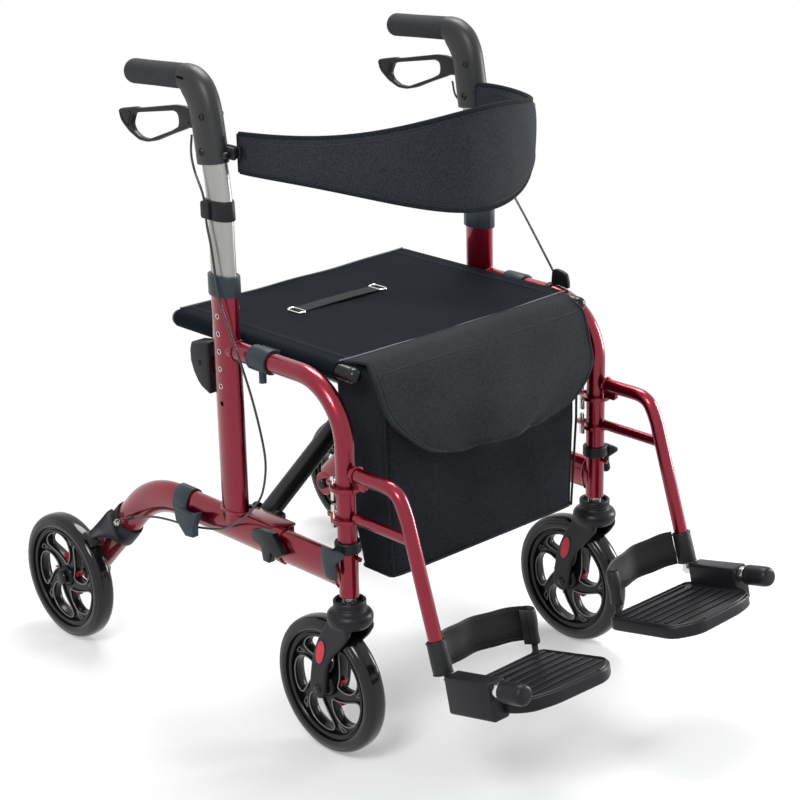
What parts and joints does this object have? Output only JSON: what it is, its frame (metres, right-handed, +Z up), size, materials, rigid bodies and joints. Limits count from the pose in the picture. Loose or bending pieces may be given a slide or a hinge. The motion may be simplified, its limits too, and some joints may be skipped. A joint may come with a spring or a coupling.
{
  "type": "rollator transport chair",
  "caption": "Folding wheeled walker and transport chair: cross-braced side frames, sling seat with bag, bowed backrest, adjustable handles with brakes, swing-away footrests.",
  "frame": {"origin": "centre of the bounding box's footprint, on the floor under the wheels", "axes": "+Z up, the front of the walker towards -Y, its right-hand side towards -X"},
  "size_m": [0.634, 1.0476, 0.9412],
  "materials": {
    "burgundy_paint": "glossy burgundy metallic paint on steel tube",
    "satin_silver": "satin anodised tube and plated fasteners",
    "foam_grip": "matt black foam",
    "tyre_rubber": "smooth black polyurethane",
    "rim_plastic": "satin black moulding",
    "cable_sheath": "black sheath",
    "black_paint": "satin black paint on steel bar",
    "black_fabric": "black woven nylon",
    "black_plastic": "fine-grained black moulding"
  },
  "bodies": {
    "left_frame_body": {"left_frame": "burgundy_paint", "left_post_collar": "black_plastic", "left_saddle_clip": "black_plastic", "left_rail_clamp": "black_plastic", "left_brace_bracket": "black_plastic", "left_leg_collar": "black_plastic", "left_brake_housing": "black_plastic", "left_rear_axle": "satin_silver", "left_brake_cable": "cable_sheath", "cable_guide": "cable_sheath"},
    "left_rear_wheel": {"left_rear_rim": "rim_plastic", "left_rear_tyre": "tyre_rubber"},
    "left_caster": {"left_caster_fork": "black_plastic", "left_front_axle": "satin_silver"},
    "left_front_wheel": {"left_front_rim": "rim_plastic", "left_front_tyre": "tyre_rubber"},
    "left_handle": {"left_handle_tube": "satin_silver", "left_handle_body": "black_plastic", "left_grip": "foam_grip"},
    "left_lever": {"left_brake_lever": "black_plastic"},
    "left_shoe": {"left_brake_shoe": "black_plastic"},
    "left_lock": {"left_height_lock": "black_plastic"},
    "left_hanger": {"left_footrest_hanger": "burgundy_paint"},
    "left_rod": {"left_footrest_rod": "satin_silver"},
    "left_plate": {"left_footplate": "black_plastic", "left_heel_strap": "black_fabric"},
    "right_frame_body": {"right_frame": "burgundy_paint", "right_post_collar": "black_plastic", "right_saddle_clip": "black_plastic", "right_rail_clamp": "black_plastic", "right_brace_bracket": "black_plastic", "right_leg_collar": "black_plastic", "right_brake_housing": "black_plastic", "right_rear_axle": "satin_silver", "right_brake_cable": "cable_sheath"},
    "right_rear_wheel": {"right_rear_rim": "rim_plastic", "right_rear_tyre": "tyre_rubber"},
    "right_caster": {"right_caster_fork": "black_plastic", "right_front_axle": "satin_silver"},
    "right_front_wheel": {"right_front_rim": "rim_plastic", "right_front_tyre": "tyre_rubber"},
    "right_handle": {"right_handle_tube": "satin_silver", "right_handle_body": "black_plastic", "right_grip": "foam_grip"},
    "right_lever": {"right_brake_lever": "black_plastic"},
    "right_shoe": {"right_brake_shoe": "black_plastic"},
    "right_lock": {"right_height_lock": "black_plastic"},
    "right_hanger": {"right_footrest_hanger": "burgundy_paint"},
    "right_rod": {"right_footrest_rod": "satin_silver"},
    "right_plate": {"right_footplate": "black_plastic", "right_heel_strap": "black_fabric"},
    "rear_bar_body": {"cross_bar_rear": "black_paint", "right_seat_rail": "black_paint", "cross_pivot_bolt": "satin_silver", "bag": "black_fabric"},
    "front_bar_body": {"cross_bar_front": "black_paint", "left_seat_rail": "black_paint", "seat": "black_fabric", "bag_flap": "black_fabric"},
    "backrest_body": {"backrest": "black_fabric"}
  },
  "joints": [
    {"name": "fold", "type": "hinge", "parent": "left_frame_body", "child": "rear_bar_body", "pos_m": [0.2205, 0.0539, 0.3035], "axis": [0, 1, 0], "range_deg": [0, 20.9], "deforming": ["seat", "bag", "bag_flap", "backrest"]},
    {"name": "cross_pivot", "type": "hinge", "parent": "rear_bar_body", "child": "front_bar_body", "pos_m": [0, 0.06441, 0.43025], "axis": [0, 1, 0], "range_deg": [-41.8, 0]},
    {"name": "right_brace_foot", "type": "hinge", "parent": "front_bar_body", "child": "right_frame_body", "pos_m": [-0.2205, 0.0139, 0.3035], "axis": [0, 1, 0], "range_deg": [0, 20.9]},
    {"name": "left_rear_wheel_spin", "type": "hinge", "parent": "left_frame_body", "child": "left_rear_wheel", "pos_m": [0.297, 0.4229, 0.1015], "axis": [1, 0, 0], "continuous": true},
    {"name": "left_caster_swivel", "type": "hinge", "parent": "left_frame_body", "child": "left_caster", "pos_m": [0.249, -0.1896, 0.245], "axis": [0, 0, 1], "continuous": true},
    {"name": "left_front_wheel_spin", "type": "hinge", "parent": "left_caster", "child": "left_front_wheel", "pos_m": [0.249, -0.1456, 0.1015], "axis": [1, 0, 0], "continuous": true},
    {"name": "left_handle_height", "type": "slide", "parent": "left_frame_body", "child": "left_handle", "axis": [0, 0, 1], "range_m": [-0.0512, 0.0512], "deforming": ["left_brake_cable"]},
    {"name": "left_brake_lever_pull", "type": "hinge", "parent": "left_handle", "child": "left_lever", "pos_m": [0.249, 0.0944, 0.865], "axis": [1, 0, 0], "range_deg": [0, 12], "stiffness_Nm_per_rad": 1},
    {"name": "left_brake_shoe_press", "type": "hinge", "parent": "left_frame_body", "child": "left_shoe", "pos_m": [0.2788, 0.3064, 0.19], "axis": [-1, 0, 0], "range_deg": [0, 3]},
    {"name": "left_height_lock_press", "type": "hinge", "parent": "left_frame_body", "child": "left_lock", "pos_m": [0.249, 0.1029, 0.5195], "axis": [1, 0, 0], "range_deg": [0, 5], "stiffness_Nm_per_rad": 0.5},
    {"name": "left_footrest_swing", "type": "hinge", "parent": "left_frame_body", "child": "left_hanger", "pos_m": [0.249, -0.1896, 0.387], "axis": [0, 0, 1], "range_deg": [0, 100]},
    {"name": "left_footrest_length", "type": "slide", "parent": "left_hanger", "child": "left_rod", "axis": [0, -0.3047, -0.9525], "range_m": [0, 0.045]},
    {"name": "left_footplate_flip", "type": "hinge", "parent": "left_rod", "child": "left_plate", "pos_m": [0.249, -0.47, 0.209], "axis": [0, 0.9759, -0.2181], "range_deg": [0, 90], "deforming": ["left_heel_strap"]},
    {"name": "right_rear_wheel_spin", "type": "hinge", "parent": "right_frame_body", "child": "right_rear_wheel", "pos_m": [-0.297, 0.4229, 0.1015], "axis": [1, 0, 0], "continuous": true},
    {"name": "right_caster_swivel", "type": "hinge", "parent": "right_frame_body", "child": "right_caster", "pos_m": [-0.249, -0.1896, 0.245], "axis": [0, 0, 1], "continuous": true},
    {"name": "right_front_wheel_spin", "type": "hinge", "parent": "right_caster", "child": "right_front_wheel", "pos_m": [-0.249, -0.1456, 0.1015], "axis": [1, 0, 0], "continuous": true},
    {"name": "right_handle_height", "type": "slide", "parent": "right_frame_body", "child": "right_handle", "axis": [0, 0, 1], "range_m": [-0.0512, 0.0512], "deforming": ["right_brake_cable"]},
    {"name": "right_brake_lever_pull", "type": "hinge", "parent": "right_handle", "child": "right_lever", "pos_m": [-0.249, 0.0944, 0.865], "axis": [1, 0, 0], "range_deg": [0, 12], "stiffness_Nm_per_rad": 1},
    {"name": "right_brake_shoe_press", "type": "hinge", "parent": "right_frame_body", "child": "right_shoe", "pos_m": [-0.2788, 0.3064, 0.19], "axis": [-1, 0, 0], "range_deg": [0, 3]},
    {"name": "right_height_lock_press", "type": "hinge", "parent": "right_frame_body", "child": "right_lock", "pos_m": [-0.249, 0.1029, 0.5195], "axis": [1, 0, 0], "range_deg": [0, 5], "stiffness_Nm_per_rad": 0.5},
    {"name": "right_footrest_swing", "type": "hinge", "parent": "right_frame_body", "child": "right_hanger", "pos_m": [-0.249, -0.1896, 0.387], "axis": [0, 0, -1], "range_deg": [0, 100]},
    {"name": "right_footrest_length", "type": "slide", "parent": "right_hanger", "child": "right_rod", "axis": [0, -0.3047, -0.9525], "range_m": [0, 0.045]},
    {"name": "right_footplate_flip", "type": "hinge", "parent": "right_rod", "child": "right_plate", "pos_m": [-0.249, -0.47, 0.209], "axis": [0, -0.9759, 0.2181], "range_deg": [0, 90], "deforming": ["right_heel_strap"]},
    {"name": "backrest_flip", "type": "hinge", "parent": "left_handle", "child": "backrest_body", "pos_m": [0.2268, 0.0314, 0.827], "axis": [-1, 0, 0], "range_deg": [0, 180]}
  ],
  "couplings": [
    {"joint": "cross_pivot", "follows": "fold", "ratio": -2},
    {"joint": "right_brace_foot", "follows": "fold", "ratio": 1},
    {"joint": "left_brake_shoe_press", "follows": "left_brake_lever_pull", "ratio": 0.25},
    {"joint": "right_brake_shoe_press", "follows": "right_brake_lever_pull", "ratio": 0.25},
    {"joint": "right_handle_height", "follows": "left_handle_height", "ratio": 1}
  ]
}
